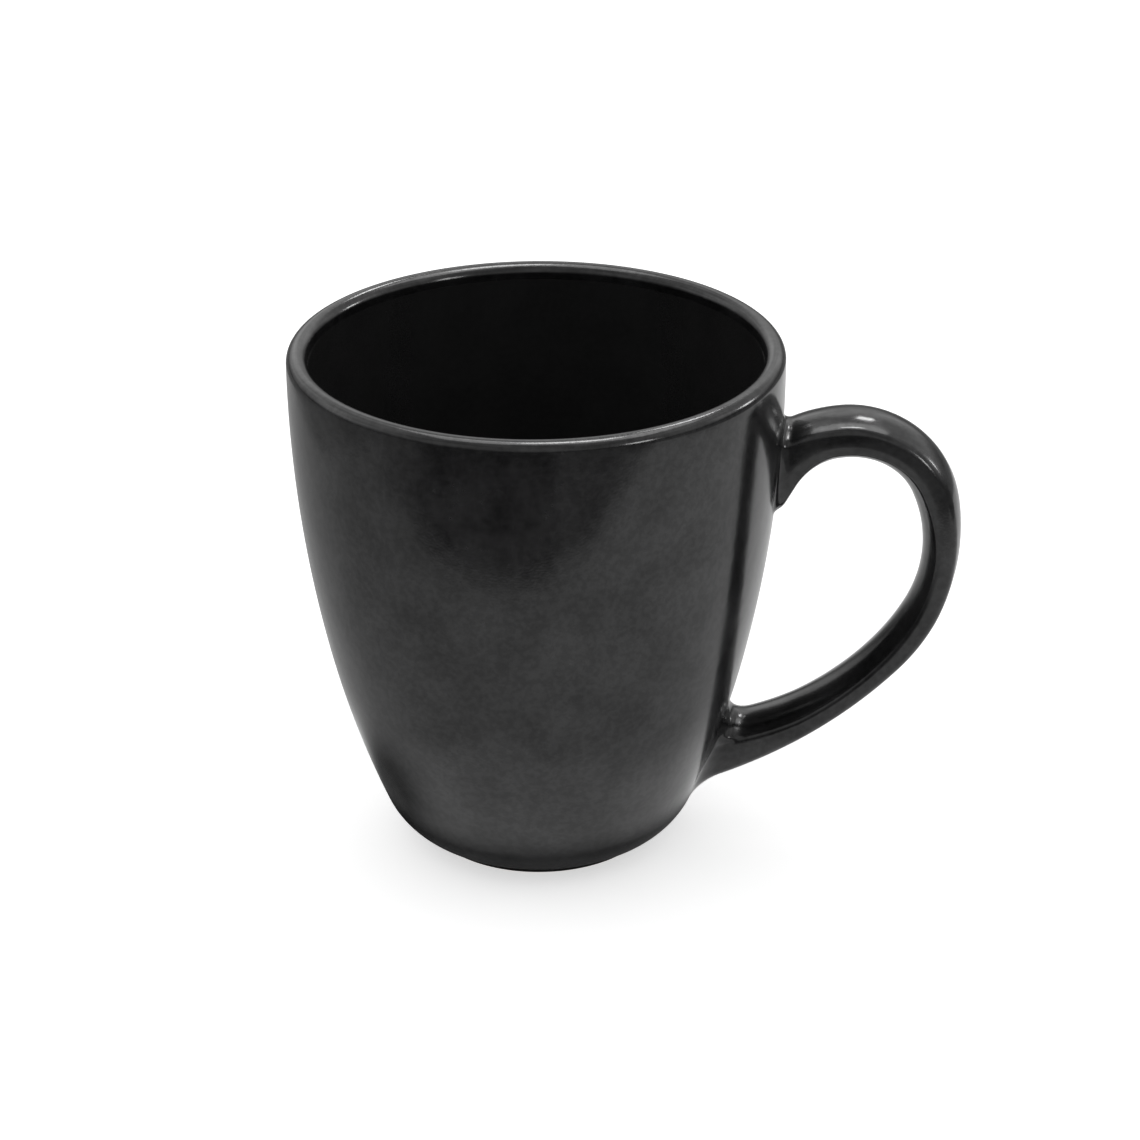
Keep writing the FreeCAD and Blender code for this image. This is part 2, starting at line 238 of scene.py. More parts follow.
# ----------------------------------------------------------------------------------------------------
# Cup
# ----------------------------------------------------------------------------------------------------
@dataclass
class Cup:
    """The cup: a tapered shell with a rounded lip and a small bare foot ring, under two glaze coats."""

    rim_radius: float = 44.0
    lip_centre_z: float = 93.3
    lip_radius: float = 1.9
    lean: float = 0.45
    upper_wall: Run = Run(244.0, -13.15)
    lower_wall: Run = Run(188.0, -9.33)
    corner: Run = Run(13.33, -48.5)
    inner_lower_sweep: float = -7.6
    inner_corner_radius: float = 12.0
    foot_edge: float = 0.7
    foot_glaze_turn: float = 28.0
    foot_inner_radius: float = 17.6
    foot_recess: float = 2.2
    recess_round: float = 1.5
    glaze: float = 0.3
    mouth_drop: float = 0.9
    shy: float = 0.01
    middle_radius: float = 8.0
    mouth_gap: float = 0.2
    line_step: float = 1.5
    line_turn: float = 2.5
    bend_steps: int = 6
    around: int = 288

    def outside(self, inset: float = 0.0) -> np.ndarray:
        """The outer wall's line, from the lip down.

        Args:
            inset: How far inside the glazed surface to stay.

        Returns:
            Rows of radius and height, in millimetres.
        """
        chain = Chain((self.rim_radius, self.lip_centre_z), self.lean - 90.0,
                      (self.upper_wall, self.lower_wall, self.corner))
        return chain.shifted(inset + self.shy).points(self.line_step, self.line_turn)

    def inside(self, outset: float = 0.0) -> np.ndarray:
        """The inner wall's line, from the lip down to the floor's edge.

        Args:
            outset: How far the line's start stands into the clay.

        Returns:
            Rows of radius and height, in millimetres.
        """
        thick = 2.0 * self.lip_radius
        lower = Run(self.lower_wall.radius - thick, self.inner_lower_sweep)
        upper = Run(self.upper_wall.radius - thick, self.upper_wall.amount)
        turn = -(90.0 + self.lean + upper.amount + lower.amount)
        chain = Chain((self.rim_radius - thick, self.lip_centre_z), self.lean - 90.0,
                      (upper, lower, Run(self.inner_corner_radius, turn)))
        return chain.shifted(-outset).points(self.line_step, self.line_turn)

    def lip(self, inset: float, start_deg: float, stop_deg: float, steps: int = 20) -> np.ndarray:
        """Points on the lip's half round.

        Args:
            inset: How far inside the glazed surface to stay.
            start_deg: The first angle, zero being the outer side.
            stop_deg: The last angle.
            steps: How many steps to make between them.

        Returns:
            Rows of radius and height, in millimetres.
        """
        a = np.radians(np.linspace(start_deg, stop_deg, steps + 1))
        radius = self.lip_radius - inset - self.shy
        centre = self.rim_radius - self.lip_radius
        return np.stack([centre + radius * np.cos(a), self.lip_centre_z + radius * np.sin(a)], axis=1)

    def wall_radius(self, height: np.ndarray) -> np.ndarray:
        """The glazed outer wall's radius at these heights."""
        line = self.outside()[::-1]
        return np.interp(height, line[:, 1], line[:, 0])

    def wall_normal(self, place: np.ndarray) -> np.ndarray:
        """The outer wall's outward normal beside these places."""
        rise = self.wall_radius(place[..., 2] + 0.5) - self.wall_radius(place[..., 2] - 0.5)
        planar = np.hypot(place[..., 0], place[..., 1])
        flat = np.stack([place[..., 0] / planar, place[..., 1] / planar, -rise], axis=-1)
        return flat / np.linalg.norm(flat, axis=-1, keepdims=True)

    def clearance(self, place: np.ndarray) -> np.ndarray:
        """How far these places stand off the outer wall."""
        planar = np.hypot(place[..., 0], place[..., 1])
        normal = self.wall_normal(place)
        return (planar - self.wall_radius(place[..., 2])) * np.hypot(normal[..., 0], normal[..., 1])

    def foot_round(self, coat: float, start_deg: float, stop_deg: float) -> np.ndarray:
        """Points round the foot's lower edge.

        Args:
            coat: How far outside the clay to stay.
            start_deg: The first angle below the level.
            stop_deg: The last angle below the level.

        Returns:
            Rows of radius and height, in millimetres.
        """
        a = np.radians(np.linspace(start_deg, stop_deg, self.bend_steps + 1))
        radius = self.foot_edge + coat
        centre = self.outside(self.glaze)[-1][0] - self.foot_edge
        return np.stack([centre + radius * np.cos(a), self.foot_edge - radius * np.sin(a)], axis=1)

    def clay_loop(self) -> np.ndarray:
        """The clay shell's section as a closed loop, from the outer wall round the foot and the inside."""
        rise, turn = self.foot_recess, self.recess_round
        bend = np.radians(np.linspace(0.0, 90.0, self.bend_steps + 1))
        recess = np.stack([self.foot_inner_radius - turn + turn * np.cos(bend),
                           rise - turn + turn * np.sin(bend)], axis=1)
        inner = self.inside(self.glaze)
        floor, middle = inner[-1][1], self.middle_radius
        spans = [self.outside(self.glaze), self.foot_round(0.0, 0.0, 90.0), [(self.foot_inner_radius, 0.0)],
                 recess, [(middle, rise), (0.0, rise), (0.0, floor), (middle, floor)], inner[::-1],
                 self.lip(self.glaze, 180.0, 0.0)]
        return tidy_loop(np.concatenate([np.asarray(span, float) for span in spans]))

    def outer_coat_loop(self) -> np.ndarray:
        """The outside glaze's section: over the lip, down the wall and the foot, and back up the clay."""
        drop = np.array([0.0, -self.mouth_drop])
        over, under = self.lip(0.0, 180.0, 0.0), self.lip(self.glaze, 0.0, 180.0)
        skin, back = self.outside(), self.outside(self.glaze)[::-1]
        side = self.foot_round(self.glaze, 0.0, self.foot_glaze_turn)
        low = np.interp(side[0][0], skin[::-1, 0], skin[::-1, 1])
        skin = skin[skin[:, 0] > side[0][0]]
        spans = [over, skin, [(side[0][0], low)], side, self.foot_round(0.0, self.foot_glaze_turn, 0.0), back,
                 under, [under[-1] + drop, over[0] + drop]]
        return tidy_loop(np.concatenate([np.asarray(span, float) for span in spans]))

    def inner_coat_loop(self) -> np.ndarray:
        """The inside glaze's section, from just under the lip to the middle of the floor."""
        skin, back = self.inside(), self.inside(self.glaze)
        top = self.lip_centre_z - self.mouth_drop
        skin = skin[skin[:, 1] < top - self.mouth_gap]
        back = back[back[:, 1] < top - self.mouth_gap]
        mouth, middle = self.rim_radius - 2.0 * self.lip_radius, self.middle_radius
        spans = [[(mouth, top)], skin, [(middle, skin[-1][1]), (0.0, skin[-1][1]), (0.0, back[-1][1]),
                 (middle, back[-1][1])], back[::-1], [(mouth + self.glaze, top)]]
        return tidy_loop(np.concatenate([np.asarray(span, float) for span in spans]))

    def build(self, finishes: Finishes) -> None:
        """Makes the clay shell and both coats, and dresses them."""
        dress(lathe("cup_clay", self.clay_loop(), self.around), finishes.clay, ["cup_body"])
        dress(lathe("outside_glaze_cup", self.outer_coat_loop(), self.around), finishes.satin,
              ["exterior_glaze"])
        dress(lathe("inside_glaze", self.inner_coat_loop(), self.around), finishes.gloss,
              ["interior_glaze"])


def tidy_loop(points: np.ndarray, closer: float = 0.02) -> np.ndarray:
    """Drops the points of a closed loop that stand on the one before."""
    gaps = np.linalg.norm(points - np.roll(points, 1, axis=0), axis=1)
    return points[gaps > closer]


# ----------------------------------------------------------------------------------------------------
# Handle
# ----------------------------------------------------------------------------------------------------
class End(Enum):
    """The handle's two ends."""

    UPPER = "upper"
    LOWER = "lower"


@dataclass
class Handle:
    """The strap handle, whose two ends are luted to the wall and smoothed into it."""

    cup: Cup
    outer: Chain = Chain((40.95, 79.55), 28.0,
                         (Run(0, 3.0), Run(28.2, -21.5), Run(19.75, -85.9), Run(38.5, -52.7),
                          Run(91.2, -29.2)))
    inner: Chain = Chain((40.9, 65.9), 0.0,
                         (Run(0, 1.05), Run(3.0, 60.0), Run(0, 3.46), Run(11.0, -45.1),
                          Run(12.74, -23.3), Run(11.38, -56.6), Run(25.9, -53.6), Run(47.2, -53.0)))
    flare_length: float = 16.4
    half_width: float = 6.4
    edge_round: float = 1.9
    hole_round: float = 1.5
    tip_round: float = 1.9
    face_crown: float = 24.0
    low_crown: float = 11.0
    hole_crown: float = 36.0
    tip_crown: float = 8.0
    side_crown: float = 14.0
    blend_top: float = 2.0
    blend_tip: float = 1.0
    blend_low: float = 3.2
    blend_hole: float = 5.0
    fade_start: float = 30.0
    fade_length: float = 25.0
    most_corner: float = 0.93
    most_crown: float = 0.88
    skin_depth: float = 0.2
    slip_depth: float = 0.1
    upper_reach: float = 0.3
    lower_reach: float = 0.7
    outline_step: float = 0.25
    outline_turn: float = 1.0
    pair_count: int = 60
    smooth_side: int = 3
    crown_steps: int = 4
    corner_steps: int = 13
    stations: int = 170
    blend_steps: int = 9
    halvings: int = 40
    tracks: tuple[Track, Track] = field(init=False)
    pairs: tuple[np.ndarray, np.ndarray] = field(init=False)

    def __post_init__(self) -> None:
        """Pairs each place on the inner outline with the outer outline's place across the strap."""
        outer, inner = (Track(chain.points(self.outline_step, self.outline_turn))
                        for chain in (self.outer, self.inner))
        self.tracks = (outer, inner)
        along = np.linspace(self.flare_length, inner.length, self.pair_count)
        across = [outer.nearest(place) for place in inner.at(along)]
        across[-1] = outer.length
        window = 2 * self.smooth_side + 1
        smooth = np.convolve(np.pad(across, self.smooth_side, mode="edge"), np.ones(window) / window,
                             mode="valid")
        smooth[0], smooth[-1] = across[0], across[-1]
        self.pairs = (np.concatenate([[0.0], along]), np.concatenate([[0.0], np.maximum.accumulate(smooth)]))

    def section(self) -> np.ndarray:
        """Normal directions round the section.

        Returns:
            Angles in radians, from the outer face once round.
        """
        first = np.radians(self.face_crown) * np.linspace(0.0, 1.0, self.crown_steps + 1)
        middle = np.linspace(first[-1], math.pi / 2 - np.radians(self.side_crown), self.corner_steps + 1)
        last = np.linspace(middle[-1], math.pi / 2, self.crown_steps + 1)
        quarter = np.concatenate([first, middle[1:], last[1:]])
        half = np.concatenate([quarter, math.pi - quarter[-2::-1]])
        return np.concatenate([half, 2 * math.pi - half[-2:0:-1]])

    def surface(self, along: np.ndarray, angles: np.ndarray, inset: float = 0.0) -> np.ndarray:
        """The glazed strap's surface.

        Args:
            along: Distances along the inner outline.
            angles: Normal directions round the section, of the same shape.
            inset: How far inside the glazed surface to stay.

        Returns:
            Positions in millimetres.
        """
        out = self.tracks[0].at(np.interp(along, *self.pairs))
        inn = self.tracks[1].at(along)
        centre, reach = (out + inn) / 2.0, (out - inn) / 2.0
        half = np.linalg.norm(reach, axis=-1)
        up = reach / half[..., None]
        inward = np.cos(angles) < 0
        flare = np.clip(1.0 - along / self.flare_length, 0.0, 1.0)
        hole_corner = self.hole_round + (self.tip_round - self.hole_round) * flare
        corner = np.minimum(np.where(inward, hole_corner, self.edge_round), half * self.most_corner)
        across = self.half_width - corner
        deep = half - corner
        lower = np.clip((along - self.fade_start) / self.fade_length, 0.0, 1.0)
        crown = np.where(inward, self.hole_crown + (self.tip_crown - self.hole_crown) * flare,
                         self.face_crown + (self.low_crown - self.face_crown) * lower)
        limit = 2.0 * np.arctan(self.most_crown * deep / across)
        d1, d2 = np.minimum(np.radians(crown), limit), math.radians(self.side_crown)
        a = (across - math.tan(d2 / 2) * deep) / (np.sin(d1) - math.tan(d2 / 2) * (1 - np.cos(d1)))
        b = (deep - a * (1 - np.cos(d1))) / math.sin(d2)
        fold = np.abs(((angles + math.pi) % (2 * math.pi)) - math.pi)
        fold = np.where(inward, math.pi - fold, fold)
        on_face, on_side = fold <= d1, fold >= math.pi / 2 - d2
        face_radius, side_radius = a + corner, b + corner
        u = np.where(on_face, half - face_radius + face_radius * np.cos(fold),
                     np.where(on_side, side_radius * np.cos(fold), b * math.sin(d2) + corner * np.cos(fold)))
        v = np.where(on_face, face_radius * np.sin(fold),
                     np.where(on_side, self.half_width - side_radius + side_radius * np.sin(fold),
                              a * np.sin(d1) + corner * np.sin(fold)))
        inset = inset + self.cup.shy
        u, v = u - inset * np.cos(fold), v - inset * np.sin(fold)
        u = np.where(inward, -u, u)
        v = np.where(np.sin(angles) < 0, -v, v)
        flat = centre + up * u[..., None]
        return np.stack([flat[..., 0], v, flat[..., 1]], axis=-1)

    def meets_wall(self, angles: np.ndarray, stand_off: np.ndarray, end: End, inset: float) -> np.ndarray:
        """Finds where each line along the strap stands off the wall by a wanted distance, by halving.

        Args:
            angles: Normal directions round the section, one for each line.
            stand_off: The wanted distances, in millimetres.
            end: Which end of the strap to search.
            inset: How far inside the glazed surface to stay.

        Returns:
            Distances along the inner outline.
        """
        whole = self.tracks[1].length
        low = np.full(angles.shape, 0.0 if end is End.UPPER else whole)
        high = np.full(angles.shape, whole * (self.upper_reach if end is End.UPPER else self.lower_reach))
        for _ in range(self.halvings):
            middle = (low + high) / 2.0
            near = self.cup.clearance(self.surface(middle, angles, inset)) + inset < stand_off
            low, high = np.where(near, middle, low), np.where(near, high, middle)
        return (low + high) / 2.0

    def blend_radius(self, angles: np.ndarray, end: End) -> np.ndarray:
        """The radius that the joint is smoothed to, which changes from the outer face to the hole side.

        Args:
            angles: Normal directions round the section.
            end: Which end of the strap.

        Returns:
            Radii in millimetres.
        """
        if end is End.UPPER:
            above, below = self.blend_top, self.blend_tip
        else:
            above, below = self.blend_low, self.blend_hole
        share = np.clip(-np.cos(angles), 0.0, 1.0)
        share = share * share * (3.0 - 2.0 * share)
        return above + (below - above) * share

    def root_rings(self, angles: np.ndarray, end: End, inset: float) -> np.ndarray:
        """Rings of the smoothed blend, from the wall out to where the plain strap begins.

        Args:
            angles: Normal directions round the section.
            end: Which end of the strap.
            inset: How far inside the glazed surface to stay.

        Returns:
            Positions in millimetres, indexed by ring and by place round the ring.
        """
        radius = self.blend_radius(angles, end) + inset
        rings = []
        for beta in np.radians(np.linspace(90.0, 0.0, self.blend_steps + 1)):
            stand_off = radius * (1.0 - math.sin(beta))
            along = self.meets_wall(angles, stand_off, end, inset)
            base = self.surface(along, angles, inset)
            wall = self.cup.wall_normal(base)
            away = self.outward(along, angles, inset)
            away -= (away * wall).sum(-1, keepdims=True) * wall
            away /= np.linalg.norm(away, axis=-1, keepdims=True)
            place = base + away * (radius * (1.0 - math.cos(beta)))[:, None]
            miss = stand_off - (self.cup.clearance(place) + inset)
            rings.append(place + self.cup.wall_normal(place) * miss[:, None])
        return np.array(rings)

    def outward(self, along: np.ndarray, angles: np.ndarray, inset: float) -> np.ndarray:
        """The strap's outward normal, from its surface a little way round and along.

        Args:
            along: Distances along the inner outline.
            angles: Normal directions round the section, of the same shape.
            inset: How far inside the glazed surface to stay.

        Returns:
            Unit vectors.
        """
        step, turn = 0.05, 0.01
        a = self.surface(along + step, angles, inset) - self.surface(along - step, angles, inset)
        b = self.surface(along, angles + turn, inset) - self.surface(along, angles - turn, inset)
        normal = np.cross(a, b)
        normal /= np.linalg.norm(normal, axis=-1, keepdims=True) + 1e-12
        faces = self.surface(along, np.zeros_like(angles)), self.surface(along, np.full_like(angles, math.pi))
        facing = ((self.surface(along, angles) - (faces[0] + faces[1]) / 2.0) * normal).sum(-1)
        return normal * np.where(facing < 0, -1.0, 1.0)[..., None]

    def strap_rings(self, angles: np.ndarray, inset: float) -> np.ndarray:
        """Rings of the plain strap between the two blends.

        Args:
            angles: Normal directions round the section.
            inset: How far inside the glazed surface to stay.

        Returns:
            Positions in millimetres, indexed by ring and by place round the ring.
        """
        first, last = (self.meets_wall(angles, self.blend_radius(angles, end) + inset, end, inset)
                       for end in (End.UPPER, End.LOWER))
        share = np.linspace(0.0, 1.0, self.stations)[:, None]
        round_each = np.broadcast_to(angles, (self.stations, len(angles)))
        return self.surface(first + (last - first) * share, round_each, inset)

    def sunk(self, ring: np.ndarray, depth: float) -> np.ndarray:
        """A ring moved into the wall."""
        return ring - self.cup.wall_normal(ring) * depth

    def build(self, finishes: Finishes) -> None:
        """Makes the handle's glaze, its clay and its two luted joints, and dresses them."""
        angles, glaze = self.section(), self.cup.glaze
        upper, lower = (self.root_rings(angles, end, 0.0) for end in End)
        skin = np.concatenate([self.sunk(upper[0], self.skin_depth)[None], upper,
                               self.strap_rings(angles, 0.0)[1:-1], lower[::-1],
                               self.sunk(lower[0], self.skin_depth)[None]])
        dress(tube("outside_glaze_handle", skin), finishes.satin, ["exterior_glaze"])
        dress(tube("handle_clay", self.strap_rings(angles, glaze)), finishes.clay, ["handle"])
        for end in End:
            ring = self.root_rings(angles, end, glaze)
            rings = np.concatenate([self.sunk(ring[0], self.slip_depth)[None], ring])
            piece = tube(f"{end.value}_joint_slip", rings)
            dress(piece, finishes.clay, [f"{end.value}_handle_joint"])


def dress(piece: bpy.types.Object, finish: bpy.types.Material, nodes: Iterable[str]) -> None:
    """Gives a piece its finish, its body and the CAD nodes that it stands for.

    Args:
        piece: The mesh object.
        finish: Its material.
        nodes: The CAD nodes that it replaces.
    """
    fix_normals(piece.data)
    piece.data.materials.append(finish)
    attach(piece, BODY)
    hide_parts(*nodes)
    LOG.info("%s: %d faces, stands for %s", piece.name, len(piece.data.polygons), ", ".join(nodes))


def fix_normals(mesh: bpy.types.Mesh) -> None:
    """Turns all faces of a closed mesh outward."""
    mesh.calc_loop_triangles()
    corners = np.empty(len(mesh.loop_triangles) * 3, dtype=np.int32)
    mesh.loop_triangles.foreach_get("vertices", corners)
    verts = np.empty(len(mesh.vertices) * 3)
    mesh.vertices.foreach_get("co", verts)
    a, b, c = verts.reshape(-1, 3)[corners.reshape(-1, 3)].transpose(1, 0, 2)
    if np.einsum("ij,ij->", a, np.cross(b, c)) < 0:
        mesh.flip_normals()


# ----------------------------------------------------------------------------------------------------
# Shader groups that several finishes share
# ----------------------------------------------------------------------------------------------------
class Graph:
    """A small helper for wiring shader nodes."""

    def __init__(self, tree: bpy.types.NodeTree) -> None:
        """Works on this tree."""
        self.tree = tree

    def add(self, kind: str, **settings: object) -> bpy.types.Node:
        """Adds a node.

        Args:
            kind: The node's type.
            settings: Values of the node's own properties, or else of its inputs by their names in lower case.

        Returns:
            The node.
        """
        node = self.tree.nodes.new(kind)
        for name, value in settings.items():
            if hasattr(node, name):
                setattr(node, name, value)
            else:
                node.inputs[name.title()].default_value = value
        return node

    def link(self, source: bpy.types.NodeSocket, target: bpy.types.NodeSocket) -> None:
        """Joins two sockets."""
        self.tree.links.new(source, target)

    def maths(self, operation: str, *values: object, clamp: bool = False) -> bpy.types.NodeSocket:
        """Adds a Math node.

        Args:
            operation: What it works out.
            values: Numbers or sockets, in the order of its inputs.
            clamp: Whether the result stays between 0 and 1.

        Returns:
            The result's socket.
        """
        node = self.tree.nodes.new("ShaderNodeMath")
        node.operation, node.use_clamp = operation, clamp
        for socket, value in zip(node.inputs, values):
            if isinstance(value, (int, float)):
                socket.default_value = value
            else:
                self.link(value, socket)
        return node.outputs[0]

    def ramp(self, value: bpy.types.NodeSocket, low: float, high: float, to_low: float = 0.0,
             to_high: float = 1.0) -> bpy.types.NodeSocket:
        """Adds a smooth step from one level to another.

        Args:
            value: The socket that drives it.
            low: The value where the step begins.
            high: The value where the step ends.
            to_low: The level before the step.
            to_high: The level after the step.

        Returns:
            The level's socket.
        """
        node = self.tree.nodes.new("ShaderNodeMapRange")
        node.interpolation_type = "SMOOTHSTEP"
        for socket, number in zip(list(node.inputs)[1:5], (low, high, to_low, to_high)):
            socket.default_value = number
        self.link(value, node.inputs[0])
        return node.outputs[0]


def new_group(name: str, inputs: dict[str, float | None],
              outputs: Iterable[str]) -> tuple[bpy.types.NodeTree, bpy.types.Node, bpy.types.Node]:
    """Makes a shader group.

    Args:
        name: The group's name.
        inputs: Input names with default values; None makes a vector input.
        outputs: Names of the float outputs.

    Returns:
        The tree, its input node and its output node.
    """
    tree = bpy.data.node_groups.new(name, "ShaderNodeTree")
    for label, value in inputs.items():
        kind = "NodeSocketVector" if value is None else "NodeSocketFloat"
        socket = tree.interface.new_socket(label, in_out="INPUT", socket_type=kind)
        if value is not None:
            socket.default_value = value
    for label in outputs:
        tree.interface.new_socket(label, in_out="OUTPUT", socket_type="NodeSocketFloat")
    return tree, tree.nodes.new("NodeGroupInput"), tree.nodes.new("NodeGroupOutput")


def specks_group() -> bpy.types.NodeTree:
    """Small round specks scattered through a surface: Mask is 1 inside a speck."""
    least, spread, edge = 0.16, 0.3, 0.45
    tree, given, result = new_group("specks", {"Place": None, "Size": 0.8, "Share": 0.3}, ["Mask", "Tone"])
    g = Graph(tree)
    scale = g.maths("DIVIDE", PER_METRE, given.outputs["Size"])
    cells = g.add("ShaderNodeTexVoronoi", feature="F1")
    g.link(given.outputs["Place"], cells.inputs["Vector"])
    g.link(scale, cells.inputs["Scale"])
    tone = g.add("ShaderNodeSeparateColor")
    g.link(cells.outputs["Color"], tone.inputs["Color"])
    chosen = g.maths("LESS_THAN", tone.outputs["Red"], given.outputs["Share"])
    size = g.maths("MULTIPLY_ADD", tone.outputs["Green"], spread, least)
    inside = g.maths("SUBTRACT", 1.0, g.maths("DIVIDE", cells.outputs["Distance"], size), clamp=True)
    g.link(g.maths("MULTIPLY", g.ramp(inside, 0.0, edge), chosen), result.inputs["Mask"])
    g.link(tone.outputs["Blue"], result.inputs["Tone"])
    return tree


def cloud_group() -> bpy.types.NodeTree:
    """Soft uneven patches, as where a coat lies thicker and thinner: Level runs from 0 to 1."""
    thin, thick = 0.3, 0.7
    tree, given, result = new_group("uneven_coat", {"Place": None, "Size": 12.0, "Detail": 3.0}, ["Level"])
    g = Graph(tree)
    noise = g.add("ShaderNodeTexNoise", roughness=0.55)
    g.link(given.outputs["Place"], noise.inputs["Vector"])
    g.link(g.maths("DIVIDE", PER_METRE, given.outputs["Size"]), noise.inputs["Scale"])
    g.link(given.outputs["Detail"], noise.inputs["Detail"])
    g.link(g.ramp(noise.outputs[0], thin, thick), result.inputs["Level"])
    return tree


def mottle_group() -> bpy.types.NodeTree:
    """Fine grain in a coat, with a few thin curly flecks: Grain and Fleck run from 0 to 1."""
    pale_grain, curl_width, curl_patches = (0.32, 0.68), 0.022, (0.50, 0.66)
    layers = (("Size", PER_METRE, 2.5), ("Curl", PER_METRE, 0.5), ("Curl", 0.42 * PER_METRE, 0.0))
    tree, given, result = new_group("mottle", {"Place": None, "Size": 0.8, "Curl": 2.4}, ["Grain", "Fleck"])
    g = Graph(tree)
    levels = []
    for label, factor, detail in layers:
        noise = g.add("ShaderNodeTexNoise", roughness=0.6, detail=detail)
        g.link(given.outputs["Place"], noise.inputs["Vector"])
        g.link(g.maths("DIVIDE", factor, given.outputs[label]), noise.inputs["Scale"])
        levels.append(noise.outputs[0])
    g.link(g.ramp(levels[0], *pale_grain), result.inputs["Grain"])
    ridge = g.ramp(g.maths("ABSOLUTE", g.maths("SUBTRACT", levels[1], 0.5)), 0.0, curl_width, 1.0, 0.0)
    g.link(g.maths("MULTIPLY", ridge, g.ramp(levels[2], *curl_patches)), result.inputs["Fleck"])
    return tree


def peel_group() -> bpy.types.NodeTree:
    """The slight waviness of a melted coat, with fine pits: Height is for a bump node."""
    tree, given, result = new_group("melt_texture", {"Place": None, "Wave": 6.0, "Pit": 0.5, "Pits": 0.3},
                                    ["Height"])
    g = Graph(tree)
    heights = []
    for label, detail in (("Wave", 1.0), ("Pit", 2.0)):
        noise = g.add("ShaderNodeTexNoise", detail=detail)
        g.link(given.outputs["Place"], noise.inputs["Vector"])
        g.link(g.maths("DIVIDE", PER_METRE, given.outputs[label]), noise.inputs["Scale"])
        heights.append(noise.outputs[0])
    fine = g.maths("MULTIPLY", heights[1], given.outputs["Pits"])
    g.link(g.maths("ADD", heights[0], fine), result.inputs["Height"])
    return tree


# ----------------------------------------------------------------------------------------------------
# Finishes
# ----------------------------------------------------------------------------------------------------
@dataclass(frozen=True)
class GlazeFinish:
    """A black glaze coat: its colours, its sheen and how uneven it is.

    Attributes:
        dark, pale: The colour where the coat is darkest, and the colour of its grain, flecks and specks.
        roughness: The least and the most, as the coat's thickness goes.
        speck_size, speck_share, speck_strength: The specks' spacing in millimetres, how many there are of
            those that could be, and how pale they are.
        grain, fleck: How pale the fine grain and the curly flecks are.
        sheen: How strongly the coat shines between its grains and on them.
        ior: The coat's index of refraction.
        wave: The distance between the melted coat's waves, in millimetres.
        bump: How strong its waves and pits are.
        cloud_size, cloud_sheen: The uneven patches' size, and how they change the sheen.
        grain_size, curl_size: The grain's size, and the flecks', in millimetres.
    """

    name: str
    dark: tuple[float, float, float]
    pale: tuple[float, float, float]
    roughness: tuple[float, float]
    speck_size: float
    speck_share: float
    speck_strength: float
    grain: float
    fleck: float
    sheen: tuple[float, float]
    ior: float
    wave: float
    bump: float
    cloud_size: float = 9.0
    cloud_sheen: tuple[float, float] = (0.94, 1.06)
    grain_size: float = 1.25
    curl_size: float = 1.7

    def make(self, groups: dict[str, bpy.types.NodeTree]) -> bpy.types.Material:
        """Builds the material.

        Args:
            groups: The shared shader groups.

        Returns:
            The material.
        """
        material, g, shader = new_material(self.name)
        place = g.add("ShaderNodeTexCoord").outputs["Object"]
        cloud = use_group(g, groups["cloud"], place, Size=self.cloud_size, Detail=4.0)
        specks = use_group(g, groups["specks"], place, Size=self.speck_size, Share=self.speck_share)
        peel = use_group(g, groups["peel"], place, Wave=self.wave, Pit=0.45, Pits=0.25)
        quarter = tuple((3 * d + p) / 4 for d, p in zip(self.dark, self.pale))
        base = mix_colour(g, cloud.outputs["Level"], self.dark, quarter)
        amount = g.maths("MULTIPLY", specks.outputs["Mask"], self.speck_strength)
        amount = g.maths("MULTIPLY", amount, specks.outputs["Tone"])
        mottle = use_group(g, groups["mottle"], place, Size=self.grain_size, Curl=self.curl_size)
        amount = g.maths("MULTIPLY_ADD", mottle.outputs["Grain"], self.grain, amount)
        amount = g.maths("MULTIPLY_ADD", mottle.outputs["Fleck"], self.fleck, amount)
        g.link(mix_colour(g, amount, base, self.pale), shader.inputs["Base Color"])
        g.link(g.ramp(cloud.outputs["Level"], 0.0, 1.0, *self.roughness), shader.inputs["Roughness"])
        sheen = g.maths("MULTIPLY", g.ramp(mottle.outputs["Grain"], 0.0, 1.0, *self.sheen),
                        g.ramp(cloud.outputs["Level"], 0.0, 1.0, *self.cloud_sheen))
        g.link(sheen, shader.inputs["Specular IOR Level"])
        shader.inputs["IOR"].default_value = self.ior
        bump = g.add("ShaderNodeBump", strength=self.bump, distance=MM)
        g.link(peel.outputs["Height"], bump.inputs["Height"])
        g.link(bump.outputs["Normal"], shader.inputs["Normal"])
        return material


